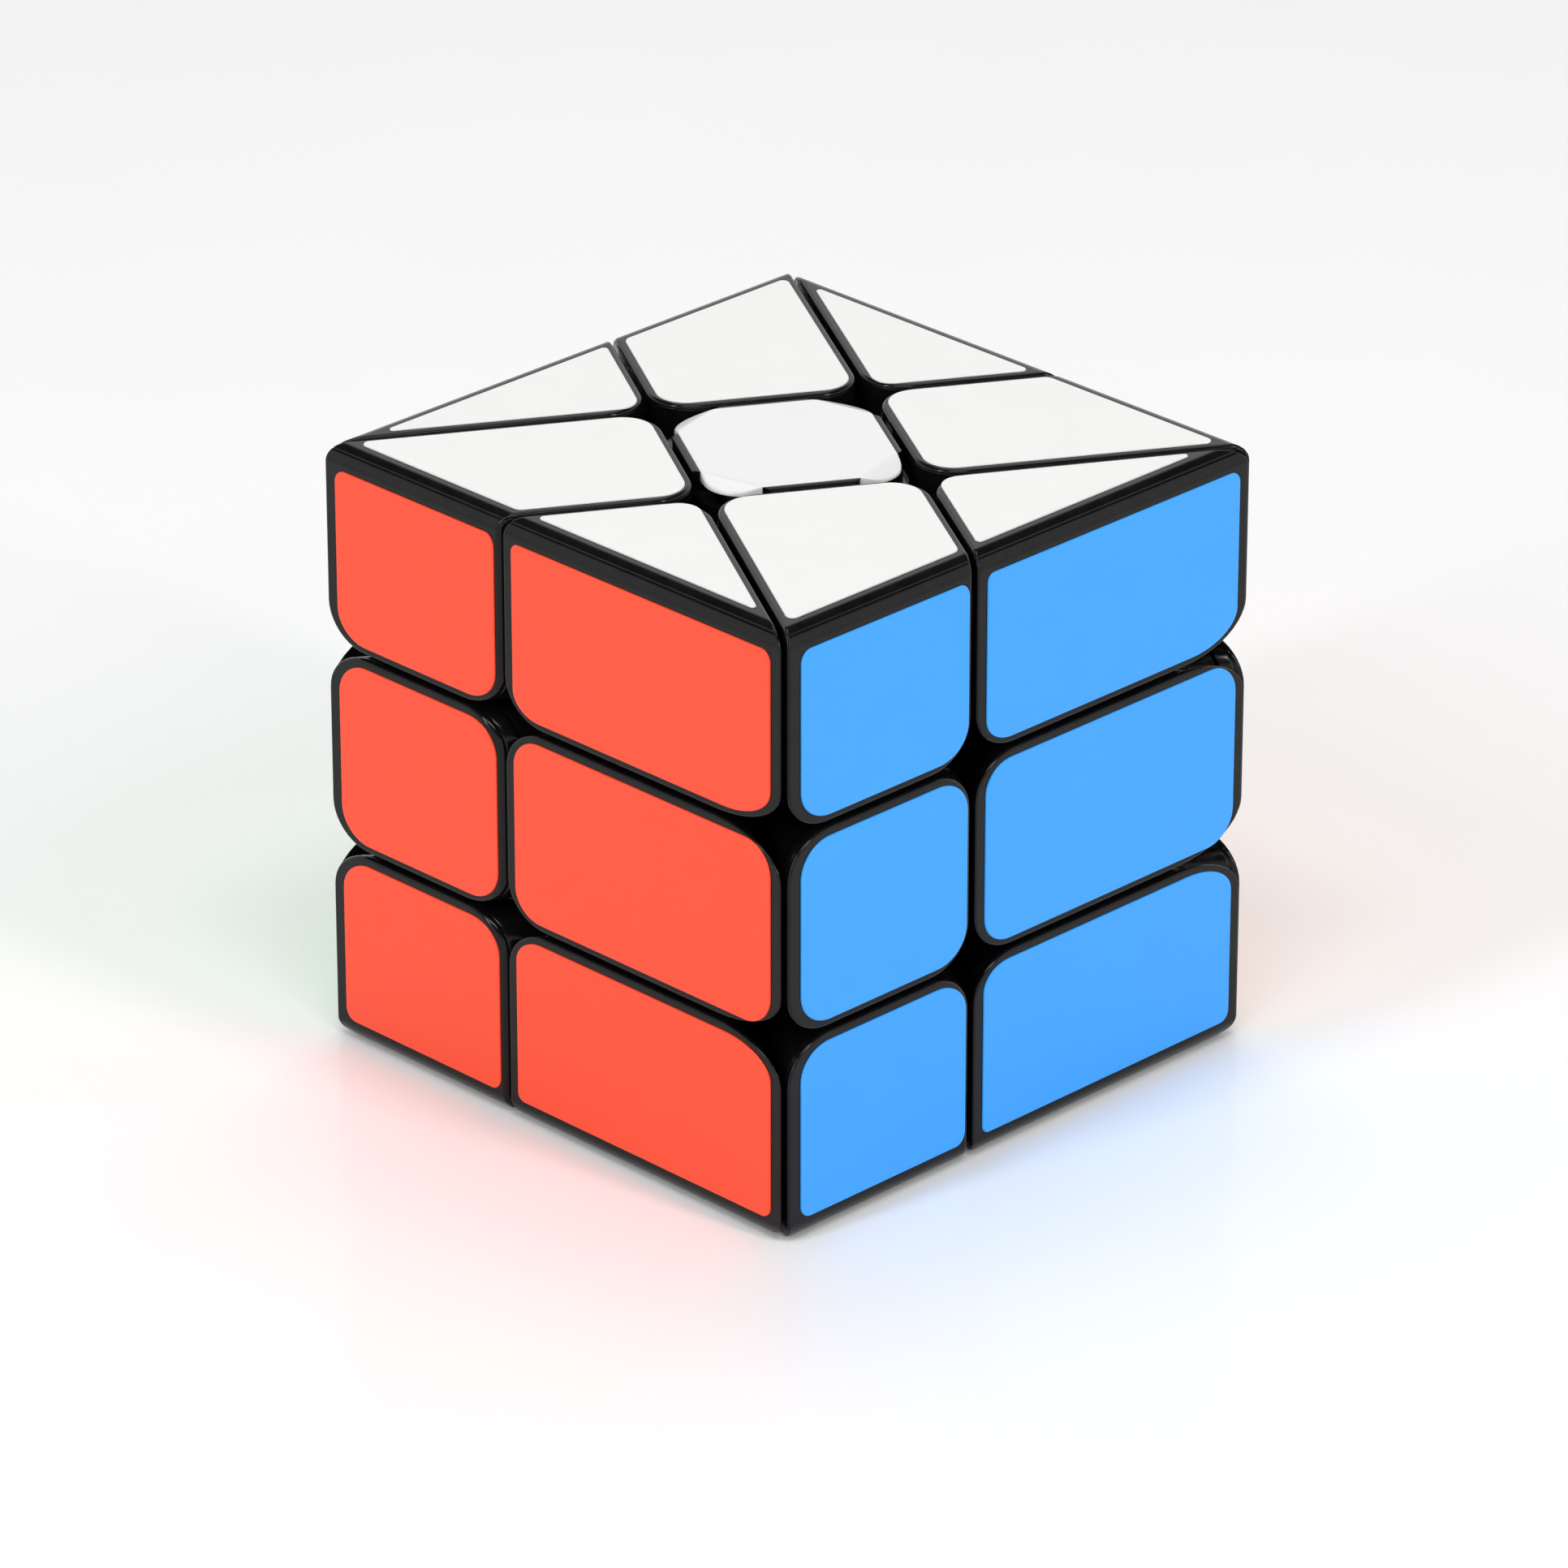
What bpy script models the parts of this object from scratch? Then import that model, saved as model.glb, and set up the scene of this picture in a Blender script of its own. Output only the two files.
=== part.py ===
"""Twisty puzzle cube whose cuts are turned about the vertical axis.

The outside is a plain cube. Inside is an ordinary three-layer mechanism with the axes
RIGHT, FRONT and UP, turned about UP until its four upright cuts run through the cube's
four upright edges. Each layer so has a square centre, four narrow four-sided pieces (the
mechanism's edges) and four wide three-sided pieces (the mechanism's corners).

Sizes are in millimetres here and become metres where a mesh is made. The shapes are made
about the cube's centre, and every piece hangs on an empty there, CUBE_SIDE / 2 above the
surface that the cube stands on.
"""

import math

import bmesh
import bpy
from mathutils import Matrix, Vector

# ---- driving dimensions ---------------------------------------------------------------
CUBE_SIDE = 57.0          # over the flat outside faces
SLICE = 19.2              # thickness of the middle layer along each mechanism axis
INNER_SLICE = 12.0        # the same between the feet, inside the foot sphere
FOOT_REACH = 3.87         # of the sphere that the feet turn in, past the corner of three cuts
PIECE_GAP = 0.45          # between neighbouring pieces
SPHERE_GAP = 0.6          # between a foot's round back and the piece above it
WALL = 1.6                # of the hollow pieces
CROSSING_ROUND = 4.0      # where two cuts of a piece meet
RIM_ROUND = 0.6           # around a piece's outside faces
HOLLOW_RADIUS = 13.0      # empty ball around the core
CORE_RADIUS = 5.6         # ball in the middle of the core
ARM_RADIUS = 3.5
ARM_LENGTH = 9.0          # from the cube's centre to an arm's end
FIT_GAP = 0.3             # between pieces that seat on or in each other
WEB = 2.0                 # floor of a centre piece, which the spring presses on
SPRING_WIRE = 0.6
SPRING_RADIUS = 2.2       # to the middle of the wire
SPRING_LENGTH = 6.4
SPRING_TURNS = 4
SCREW_RADIUS = 1.2
SCREW_DEPTH = 5.0         # how far a screw goes into its arm
SCREW_HEAD_RADIUS = 2.8
SCREW_HEAD_HEIGHT = 1.6
CROSS_SLOT_WIDTH = 0.7
CROSS_SLOT_DEPTH = 0.9
CROSS_SLOT_RIM = 1.0      # of the screw's head, past the ends of its slots
TUBE_WALL = 1.6           # around the spring
CAP_LEDGE = 0.65          # of the centre piece, seen along each straight side of its cap
CAP_THICKNESS = 1.5
CAP_CORNER_CUT = 3.1      # from a corner of the cap in to its slope's upper edge
CAP_CORNER_SLOPE = 20.0   # degrees, of the slope at each corner
CAP_ROUND = 3.4           # radius of the cap's corners, seen from above
COVER_THICKNESS = 1.7
CLIP_RING_WALL = 0.9
CLIP_RING_LENGTH = 3.0
FOOT_HOLE_RADIUS = 3.0    # through an edge piece's foot into its hollow
CORNER_SPLIT_RISE = 4.5   # of the joint between a corner's foot and shell, over the foot sphere
SPIGOT_LENGTH = 4.0       # of a corner foot, inside its shell

# ---- resolution -----------------------------------------------------------------------
SPHERE_SEGMENTS = 28
ROUND_SEGMENTS = 16
CROSSING_SEGMENTS = 3
COIL_STEPS = 8            # points in one turn of a spring
FLAT_ANGLE = 0.2          # degrees; faces that lie flatter than this are joined
SHARP_ANGLE = 35.0        # degrees; edges that turn more than this stay sharp
PARALLEL = 0.999          # cosine above which two directions count as the same

# ---- worked out from the above --------------------------------------------------------
MM = 0.001
MERGE = 1e-6
OVERRUN = 1.0             # how far a cutter runs on past what it cuts
HALF = CUBE_SIDE / 2
CUT_ANGLE = math.acos(SLICE / (CUBE_SIDE * math.sqrt(2))) - math.pi / 4
FOOT_SPHERE = SLICE / 2 * math.sqrt(3) + FOOT_REACH
CORNER_SPLIT = FOOT_SPHERE + CORNER_SPLIT_RISE
RIGHT = Vector((math.cos(CUT_ANGLE), -math.sin(CUT_ANGLE), 0.0))
FRONT = Vector((-math.sin(CUT_ANGLE), -math.cos(CUT_ANGLE), 0.0))
UP = Vector((0.0, 0.0, 1.0))
OUTWARD = Vector((0.0, -1.0, 0.0))          # of the side face that the front pieces show
NEAR_CUT = (SLICE - PIECE_GAP) / 2          # half of what lies between two cuts
FAR_CUT = (SLICE + PIECE_GAP) / 2           # where the layer beyond a cut begins
NEAR_FOOT = (INNER_SLICE - PIECE_GAP) / 2
FAR_FOOT = (INNER_SLICE + PIECE_GAP) / 2
CAVITY_SPHERE = FOOT_SPHERE + SPHERE_GAP / 2
BACK_SPHERE = FOOT_SPHERE - SPHERE_GAP / 2
ROOF_SPHERE = CAVITY_SPHERE + WALL
ARM_BORE = ARM_RADIUS + FIT_GAP
WEB_FLOOR = ARM_LENGTH + FIT_GAP
SPRING_START = WEB_FLOOR + WEB + FIT_GAP
SPRING_END = SPRING_START + SPRING_LENGTH
SCREW_HEAD_START = SPRING_END + FIT_GAP
SCREW_HOLE = SCREW_RADIUS + FIT_GAP
CHAMBER_RADIUS = max(SCREW_HEAD_RADIUS, SPRING_RADIUS + SPRING_WIRE / 2) + FIT_GAP
TUBE_RADIUS = CHAMBER_RADIUS + TUBE_WALL
CAP_HALF = NEAR_CUT - CAP_LEDGE
CAP_CREASE = CAP_HALF * math.sqrt(2) - CAP_CORNER_CUT       # from the axis to a slope's upper edge
CLIP_RING_BORE = TUBE_RADIUS + FIT_GAP
CLIP_RING_RADIUS = CLIP_RING_BORE + CLIP_RING_WALL
CLIP_RING_FLOOR = ROOF_SPHERE + FIT_GAP

SIDES = ("front", "right", "back", "left")  # each a quarter turn on from the one before
OBJECT_NAME = "puzzle_cube"

MATERIALS = {                               # colour, metallic, roughness
    "body_plastic": ((0.012, 0.012, 0.013), 0.0, 0.32),
    "core_plastic": ((0.030, 0.030, 0.032), 0.0, 0.45),
    "top_cap_plastic": ((0.85, 0.85, 0.84), 0.0, 0.22),
    "bottom_cap_plastic": ((0.87, 0.68, 0.02), 0.0, 0.22),
    "screw_steel": ((0.55, 0.55, 0.56), 1.0, 0.30),
    "spring_steel": ((0.42, 0.42, 0.44), 1.0, 0.25),
}


# ---- scene helpers --------------------------------------------------------------------
def clear_scene():
    for item in list(bpy.data.objects):
        bpy.data.objects.remove(item, do_unlink=True)


def new_collection(name):
    collection = bpy.data.collections.new(name)
    bpy.context.scene.collection.children.link(collection)
    return collection


def make_material(name):
    colour, metallic, roughness = MATERIALS[name]
    material = bpy.data.materials.new(name)
    material.use_nodes = True
    shader = material.node_tree.nodes["Principled BSDF"]
    shader.inputs["Base Color"].default_value = (*colour, 1.0)
    shader.inputs["Metallic"].default_value = metallic
    shader.inputs["Roughness"].default_value = roughness
    return material


def mesh_from(shape, name):
    bmesh.ops.recalc_face_normals(shape, faces=shape.faces[:])
    mesh = bpy.data.meshes.new(name)
    shape.to_mesh(mesh)
    shape.free()
    return mesh


def guide(shape, name):
    """A working solid in the cutters' collection."""
    item = bpy.data.objects.new(name, mesh_from(shape, name))
    item.hide_render = True
    item.display_type = "WIRE"
    CUTTERS.objects.link(item)
    return item


def combine(target, operation, *tools):
    for tool in tools:
        modifier = target.modifiers.new(operation.lower(), "BOOLEAN")
        modifier.operation = operation
        modifier.solver = "EXACT"
        modifier.object = tool
    return target


def finished_mesh(target, name):
    """The mesh of a working solid with its modifiers applied."""
    depsgraph = bpy.context.evaluated_depsgraph_get()
    mesh = bpy.data.meshes.new_from_object(target.evaluated_get(depsgraph))
    mesh.name = name
    shape = bmesh.new()
    shape.from_mesh(mesh)
    bmesh.ops.remove_doubles(shape, verts=shape.verts[:], dist=MERGE)
    bmesh.ops.dissolve_degenerate(shape, edges=shape.edges[:], dist=MERGE)
    bmesh.ops.dissolve_limit(shape, verts=shape.verts[:], edges=shape.edges[:],
                             angle_limit=math.radians(FLAT_ANGLE))
    bmesh.ops.triangulate(shape, faces=shape.faces[:])
    shape.to_mesh(mesh)
    shape.free()
    return mesh


def mirrored(mesh, name):
    """The same piece for the bottom layer."""
    copy = mesh.copy()
    copy.name = name
    copy.transform(Matrix.Scale(-1.0, 4, UP))
    copy.flip_normals()
    return copy


# ---- solids ---------------------------------------------------------------------------
def within(axis, half):
    return [(axis, half), (-axis, half)]


def beyond(axis, distance):
    return [(-axis, -distance)]


def cut_off(shape, point, outward):
    """Removes what lies beyond a plane, and closes the cut."""
    whole = shape.verts[:] + shape.edges[:] + shape.faces[:]
    cut = bmesh.ops.bisect_plane(shape, geom=whole, dist=MERGE, clear_outer=True,
                                 plane_co=point * MM, plane_no=outward)
    rim = [part for part in cut["geom_cut"] if isinstance(part, bmesh.types.BMEdge)]
    bmesh.ops.holes_fill(shape, edges=rim, sides=0)


def cut_block(limits, inset=0.0):
    """The cube, kept where axis . point <= distance for each limit, all faces moved in by inset."""
    shape = bmesh.new()
    bmesh.ops.create_cube(shape, size=(CUBE_SIDE - 2 * inset) * MM)
    for axis, distance in limits:
        cut_off(shape, axis * (distance - inset), axis)
    bmesh.ops.recalc_face_normals(shape, faces=shape.faces[:])
    return shape


def is_outside(face, half):
    """True for a face that is part of the cube's own faces."""
    reach = face.normal.dot(face.calc_center_median())
    return max(abs(value) for value in face.normal) > PARALLEL and abs(reach - half * MM) < MERGE


def bevel(shape, edges, width, segments):
    bmesh.ops.bevel(shape, geom=edges, offset=width * MM, offset_type="OFFSET", segments=segments,
                    profile=0.5, affect="EDGES", clamp_overlap=False)


def upright_edges(shape, axis):
    return [edge for edge in shape.edges
            if abs((edge.verts[0].co - edge.verts[1].co).normalized().dot(axis)) > PARALLEL]


def round_crossings(shape, radius, inset=0.0):
    """Rounds the edges where two cuts meet, and no edge of the cube's own faces."""
    half = HALF - inset
    edges = [edge for edge in shape.edges
             if not any(is_outside(face, half) for face in edge.link_faces)]
    bevel(shape, edges, radius, CROSSING_SEGMENTS)


def soften_rims(shape, inset=0.0):
    """A small chamfer around the faces that show."""
    half = HALF - inset
    edges = [edge for edge in shape.edges
             if any(is_outside(face, half) for face in edge.link_faces)]
    bevel(shape, edges, RIM_ROUND, 1)


def piece_block(limits):
    shape = cut_block(limits)
    round_crossings(shape, CROSSING_ROUND)
    soften_rims(shape)
    return shape


def hollow_block(limits, inset):
    shape = cut_block(limits, inset)
    round_crossings(shape, max(CROSSING_ROUND - inset, RIM_ROUND), inset)
    return shape


def mechanism_turn():
    """Brings X and Y onto the mechanism's own axes."""
    return Matrix.Rotation(-CUT_ANGLE, 3, "Z")


def ball(radius, segments=SPHERE_SEGMENTS):
    shape = bmesh.new()
    bmesh.ops.create_uvsphere(shape, u_segments=segments, v_segments=segments // 2,
                              radius=radius * MM)
    bmesh.ops.rotate(shape, verts=shape.verts[:], matrix=mechanism_turn())
    return shape


def rod(axis, radius, start, end):
    """A round rod along an axis through the centre."""
    shape = bmesh.new()
    bmesh.ops.create_cone(shape, cap_ends=True, segments=ROUND_SEGMENTS, radius1=radius * MM,
                          radius2=radius * MM, depth=(end - start) * MM)
    bmesh.ops.translate(shape, verts=shape.verts[:], vec=(0.0, 0.0, (start + end) / 2 * MM))
    turn = UP.rotation_difference(axis).to_matrix()
    bmesh.ops.rotate(shape, verts=shape.verts[:], matrix=turn)
    return shape


# ---- pieces ---------------------------------------------------------------------------
def edge_mesh(name, slab, first, second):
    """A hollow piece between two cuts along slab and beyond one cut along first and second."""
    outer_limits = within(slab, NEAR_CUT) + beyond(first, FAR_CUT) + beyond(second, FAR_CUT)
    body = guide(piece_block(outer_limits), name + "_block")
    combine(body, "DIFFERENCE", guide(ball(CAVITY_SPHERE), name + "_cavity_ball"))

    neck_limits = (within(slab, NEAR_FOOT - FIT_GAP)
                   + beyond(first, FAR_CUT + FIT_GAP) + beyond(second, FAR_CUT + FIT_GAP))
    neck = guide(cut_block(neck_limits), name + "_neck")
    combine(neck, "INTERSECT", guide(ball(ROOF_SPHERE), name + "_roof_ball"))

    foot_limits = within(slab, NEAR_FOOT) + beyond(first, FAR_FOOT) + beyond(second, FAR_FOOT)
    foot = guide(cut_block(foot_limits), name + "_foot")
    combine(foot, "INTERSECT", guide(ball(BACK_SPHERE), name + "_back_ball"))
    combine(foot, "DIFFERENCE", guide(ball(HOLLOW_RADIUS), name + "_hollow_ball"))

    hollow = guide(hollow_block(outer_limits, WALL), name + "_hollow")
    combine(hollow, "DIFFERENCE", guide(ball(ROOF_SPHERE), name + "_floor_ball"))
    diagonal = (first + second).normalized()
    hole = guide(rod(diagonal, FOOT_HOLE_RADIUS, 0.0, ROOF_SPHERE + WALL), name + "_hole")

    combine(body, "UNION", neck, foot)
    combine(body, "DIFFERENCE", hollow, hole)
    return finished_mesh(body, name)


CORNER_LIMITS = beyond(RIGHT, FAR_CUT) + beyond(FRONT, FAR_CUT) + beyond(UP, FAR_CUT)


def corner_shell_mesh(name):
    """The hollow outside of a corner piece, open towards its foot."""
    shell = guide(piece_block(CORNER_LIMITS), name + "_block")
    combine(shell, "DIFFERENCE", guide(ball(CORNER_SPLIT), name + "_ball"),
            guide(hollow_block(CORNER_LIMITS, WALL), name + "_hollow"))
    return finished_mesh(shell, name)


def corner_foot_mesh(name):
    """The foot that hooks under the neighbours, with a spigot that plugs into the shell."""
    foot_limits = beyond(RIGHT, FAR_FOOT) + beyond(FRONT, FAR_FOOT) + beyond(UP, FAR_FOOT)
    foot = guide(cut_block(foot_limits), name + "_block")
    combine(foot, "INTERSECT", guide(ball(BACK_SPHERE), name + "_back_ball"))
    seat = guide(cut_block(CORNER_LIMITS), name + "_seat")
    combine(seat, "INTERSECT", guide(ball(CORNER_SPLIT - FIT_GAP), name + "_seat_ball"))
    spigot = guide(hollow_block(CORNER_LIMITS, WALL + FIT_GAP), name + "_spigot")
    combine(spigot, "INTERSECT", guide(ball(CORNER_SPLIT + SPIGOT_LENGTH), name + "_spigot_ball"))
    combine(foot, "UNION", seat, spigot)
    combine(foot, "DIFFERENCE", guide(ball(HOLLOW_RADIUS), name + "_hollow_ball"))
    return finished_mesh(foot, name)


def centre_mesh(name, axis, across, face_depth):
    """A centre piece on its arm: stem, web, spring tube and hollow head, open at its face.

    face_depth is how far the head's face lies under the cube's face.
    """
    limits = within(across, NEAR_CUT) + within(axis.cross(across), NEAR_CUT) + beyond(axis, FAR_CUT)
    face_limit = [(OUTWARD, HALF - face_depth)] if axis is not UP else []
    block = cut_block(limits + face_limit)
    bevel(block, upright_edges(block, axis), CROSSING_ROUND, CROSSING_SEGMENTS)
    body = guide(block, name + "_block")
    combine(body, "DIFFERENCE", guide(ball(CAVITY_SPHERE), name + "_cavity_ball"))

    hollow_limits = [(direction, distance - WALL) for direction, distance in limits]
    hollow = guide(cut_block(hollow_limits), name + "_hollow")
    combine(hollow, "DIFFERENCE", guide(ball(ROOF_SPHERE), name + "_floor_ball"),
            guide(rod(axis, TUBE_RADIUS, 0.0, CUBE_SIDE), name + "_tube"))

    stem_limits = (within(across, NEAR_FOOT) + within(axis.cross(across), NEAR_FOOT)
                   + beyond(axis, FAR_FOOT))
    stem = guide(cut_block(stem_limits), name + "_stem")
    combine(stem, "INTERSECT", guide(ball(ROOF_SPHERE - FIT_GAP), name + "_stem_ball"))

    combine(body, "UNION", stem)
    combine(body, "DIFFERENCE", hollow,
            guide(rod(axis, ARM_BORE, 0.0, WEB_FLOOR), name + "_arm_bore"),
            guide(rod(axis, SCREW_HOLE, 0.0, CUBE_SIDE), name + "_screw_hole"),
            guide(rod(axis, CHAMBER_RADIUS, WEB_FLOOR + WEB, CUBE_SIDE), name + "_chamber"))
    if axis is UP:
        combine(body, "DIFFERENCE", *cap_seat(name + "_seat"))
    return finished_mesh(body, name)


def square_prism(half, bottom, top, turn=0.0):
    """An upright square prism that stands along the mechanism's axes, or turned from them."""
    shape = bmesh.new()
    size = Matrix.Diagonal((2 * half * MM, 2 * half * MM, (top - bottom) * MM, 1.0))
    lift = Matrix.Translation((0.0, 0.0, (top + bottom) / 2 * MM))
    spin = mechanism_turn().to_4x4() @ Matrix.Rotation(turn, 4, "Z")
    bmesh.ops.create_cube(shape, size=1.0, matrix=spin @ lift @ size)
    return shape


def cap_seat(name):
    """Room for the cap: a square recess, open at its four corners under the cap's slopes."""
    floor = HALF - CAP_THICKNESS - FIT_GAP
    corners = guide(square_prism(CUBE_SIDE, floor, HALF + WALL), name + "_corners")
    combine(corners, "DIFFERENCE", guide(square_prism(CAP_CREASE, floor - OVERRUN,
                                                      HALF + WALL + OVERRUN, math.pi / 4),
                                         name + "_ledges"))
    seat = guide(square_prism(CAP_HALF + FIT_GAP / 2, floor, HALF + WALL + OVERRUN), name)
    return seat, corners


def clip_ring(name, axis, plate, end):
    """A ring that reaches in from a cover's plate, as far as the hollow under it lets it."""
    start = max(plate - CLIP_RING_LENGTH, CLIP_RING_FLOOR)
    ring = guide(rod(axis, CLIP_RING_RADIUS, start, end), name + "_ring")
    combine(ring, "DIFFERENCE", guide(rod(axis, CLIP_RING_BORE, start - OVERRUN, end + OVERRUN),
                                      name + "_ring_bore"))
    return ring


def cap_mesh(name):
    """The square cap of the top and bottom centres, with sloping corners and a clip ring."""
    plate = square_prism(CAP_HALF - FIT_GAP / 2, HALF - CAP_THICKNESS, HALF)
    bevel(plate, upright_edges(plate, UP), CAP_ROUND, CROSSING_SEGMENTS)
    slope = math.radians(CAP_CORNER_SLOPE)
    for quarter in range(4):
        turn = Matrix.Rotation(quarter * math.pi / 2, 3, "Z")
        outward = turn @ (RIGHT + FRONT).normalized()
        cut_off(plate, outward * CAP_CREASE + UP * HALF,
                outward * math.sin(slope) + UP * math.cos(slope))
    cap = guide(plate, name + "_plate")
    combine(cap, "UNION", clip_ring(name, UP, HALF - CAP_THICKNESS, HALF - CAP_THICKNESS / 2))
    return finished_mesh(cap, name)


def cover_mesh(name):
    """The slanting cover of a side centre: a plate in the cube's face with a clip ring behind."""
    limits = within(RIGHT, NEAR_CUT) + within(UP, NEAR_CUT) + beyond(FRONT, FAR_CUT)
    block = cut_block(limits + beyond(OUTWARD, HALF - COVER_THICKNESS))
    slanted = [edge for edge in block.edges
               if not any(abs(face.normal.dot(OUTWARD)) > PARALLEL for face in edge.link_faces)]
    bevel(block, slanted, CROSSING_ROUND, CROSSING_SEGMENTS)
    soften_rims(block)
    cover = guide(block, name + "_plate")
    near_side = HALF - COVER_THICKNESS - CLIP_RING_RADIUS * math.sin(CUT_ANGLE)
    ring = clip_ring(name, FRONT, near_side / math.cos(CUT_ANGLE), CUBE_SIDE)
    room = cut_block([(OUTWARD, HALF - COVER_THICKNESS / 2)])
    combine(ring, "INTERSECT", guide(room, name + "_ring_room"))
    combine(cover, "UNION", ring)
    return finished_mesh(cover, name)


def core_mesh(name):
    """The ball with six arms that the screws go into."""
    core = guide(ball(CORE_RADIUS, ROUND_SEGMENTS), name + "_ball")
    for index, axis in enumerate((RIGHT, FRONT, UP)):
        combine(core, "UNION", guide(rod(axis, ARM_RADIUS, -ARM_LENGTH, ARM_LENGTH),
                                     f"{name}_arms_{index}"))
    depth = ARM_LENGTH - SCREW_DEPTH - FIT_GAP
    for index, axis in enumerate((RIGHT, FRONT, UP, -RIGHT, -FRONT, -UP)):
        combine(core, "DIFFERENCE", guide(rod(axis, SCREW_HOLE, depth, CUBE_SIDE / 2),
                                          f"{name}_hole_{index}"))
    return finished_mesh(core, name)


def screw_mesh(name):
    """An upright screw with a cross slot in its head."""
    start = ARM_LENGTH - SCREW_DEPTH
    top = SCREW_HEAD_START + SCREW_HEAD_HEIGHT
    screw = guide(rod(UP, SCREW_RADIUS, start, SCREW_HEAD_START + SCREW_HEAD_HEIGHT / 2),
                  name + "_shaft")
    combine(screw, "UNION", guide(rod(UP, SCREW_HEAD_RADIUS, SCREW_HEAD_START, top),
                                  name + "_head"))
    for index, turn in enumerate((0.0, math.pi / 2)):
        slot = bmesh.new()
        length = 2 * (SCREW_HEAD_RADIUS - CROSS_SLOT_RIM)
        size = Matrix.Diagonal((length * MM, CROSS_SLOT_WIDTH * MM, 2 * CROSS_SLOT_DEPTH * MM, 1.0))
        place = Matrix.Translation((0.0, 0.0, top * MM)) @ Matrix.Rotation(turn, 4, "Z")
        bmesh.ops.create_cube(slot, size=1.0, matrix=place @ size)
        combine(screw, "DIFFERENCE", guide(slot, f"{name}_slot_{index}"))
    return finished_mesh(screw, name)


def spring_mesh(name):
    """An upright compression spring."""
    data = bpy.data.curves.new(name, "CURVE")
    data.dimensions = "3D"
    data.bevel_depth = SPRING_WIRE / 2 * MM
    data.bevel_resolution = 1
    data.use_fill_caps = True
    count = SPRING_TURNS * COIL_STEPS + 1
    rise = SPRING_LENGTH - SPRING_WIRE
    spline = data.splines.new("POLY")
    spline.points.add(count - 1)
    for index, point in enumerate(spline.points):
        share = index / (count - 1)
        angle = share * SPRING_TURNS * 2 * math.pi
        height = SPRING_START + SPRING_WIRE / 2 + share * rise
        point.co = (SPRING_RADIUS * math.cos(angle) * MM, SPRING_RADIUS * math.sin(angle) * MM,
                    height * MM, 1.0)
    coil = bpy.data.objects.new(name, data)
    CUTTERS.objects.link(coil)
    mesh = finished_mesh(coil, name + "_mesh")
    bpy.data.objects.remove(coil, do_unlink=True)
    return mesh


# ---- assembly -------------------------------------------------------------------------
def pivot(name):
    """An empty on the cube's upright axis, at its centre."""
    empty = bpy.data.objects.new(name, None)
    empty.location = (0.0, 0.0, HALF * MM)
    PARTS.objects.link(empty)
    return empty


def place(name, mesh, material, parent, rotation=None):
    item = bpy.data.objects.new(name, mesh)
    if not mesh.materials:
        mesh.materials.append(material)
    item.parent = parent
    if rotation is not None:
        item.rotation_euler = rotation.to_euler()
    PARTS.objects.link(item)
    return item


def smooth(mesh):
    mesh.shade_smooth()
    mesh.set_sharp_from_angle(angle=math.radians(SHARP_ANGLE))
    return mesh


def add_layer(prefix, parent, meshes, looks):
    """The nine pieces of the top or bottom layer, with each corner as a shell and a foot."""
    place(f"{prefix}_centre", meshes["centre"], looks["body_plastic"], parent)
    place(f"{prefix}_cap", meshes["cap"], looks[f"{prefix}_cap_plastic"], parent)
    for quarter, side in enumerate(SIDES):
        turn = Matrix.Rotation(quarter * math.pi / 2, 3, "Z")
        place(f"{prefix}_{side}_edge", meshes["edge"], looks["body_plastic"], parent, turn)
        place(f"{prefix}_{side}_corner_shell", meshes["shell"], looks["body_plastic"], parent, turn)
        place(f"{prefix}_{side}_corner_foot", meshes["foot"], looks["body_plastic"], parent, turn)


def add_middle(parent, meshes, looks):
    """The side centres with their covers, and the four edges between them."""
    for quarter, side in enumerate(SIDES):
        turn = Matrix.Rotation(quarter * math.pi / 2, 3, "Z")
        place(f"{side}_centre", meshes["centre"], looks["body_plastic"], parent, turn)
        place(f"{side}_cover", meshes["cover"], looks["body_plastic"], parent, turn)
        place(f"middle_{side}_edge", meshes["edge"], looks["body_plastic"], parent, turn)


def add_axes(parent, screw, spring, looks):
    """The core, and a screw and spring on each of its six arms."""
    place("core", smooth(core_mesh("core_piece")), looks["core_plastic"], parent)
    front_turn = UP.rotation_difference(FRONT).to_matrix()
    turns = {"top": Matrix.Identity(3), "bottom": Matrix.Rotation(math.pi, 3, RIGHT)}
    for quarter, side in enumerate(SIDES):
        turns[side] = Matrix.Rotation(quarter * math.pi / 2, 3, "Z") @ front_turn
    for side, turn in turns.items():
        place(f"{side}_screw", screw, looks["screw_steel"], parent, turn)
        place(f"{side}_spring", spring, looks["spring_steel"], parent, turn)


def build():
    looks = {name: make_material(name) for name in MATERIALS}
    top = {
        "centre": smooth(centre_mesh("top_centre_piece", UP, RIGHT, 0.0)),
        "cap": smooth(cap_mesh("top_cap_piece")),
        "edge": smooth(edge_mesh("top_edge_piece", RIGHT, FRONT, UP)),
        "shell": smooth(corner_shell_mesh("top_shell_piece")),
        "foot": smooth(corner_foot_mesh("top_foot_piece")),
    }
    bottom = {kind: mirrored(mesh, mesh.name.replace("top", "bottom")) for kind, mesh in top.items()}
    middle = {
        "centre": smooth(centre_mesh("side_centre_piece", FRONT, RIGHT, COVER_THICKNESS + FIT_GAP)),
        "cover": smooth(cover_mesh("side_cover_piece")),
        "edge": smooth(edge_mesh("middle_edge_piece", UP, RIGHT, FRONT)),
    }
    frame = pivot("core_pivot")
    add_axes(frame, smooth(screw_mesh("screw_piece")), smooth(spring_mesh("spring_piece")), looks)
    add_middle(frame, middle, looks)
    add_layer("top", pivot("top_layer_pivot"), top, looks)
    add_layer("bottom", pivot("bottom_layer_pivot"), bottom, looks)


clear_scene()
PARTS = new_collection(OBJECT_NAME)
CUTTERS = new_collection("cutters")
build()
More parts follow.
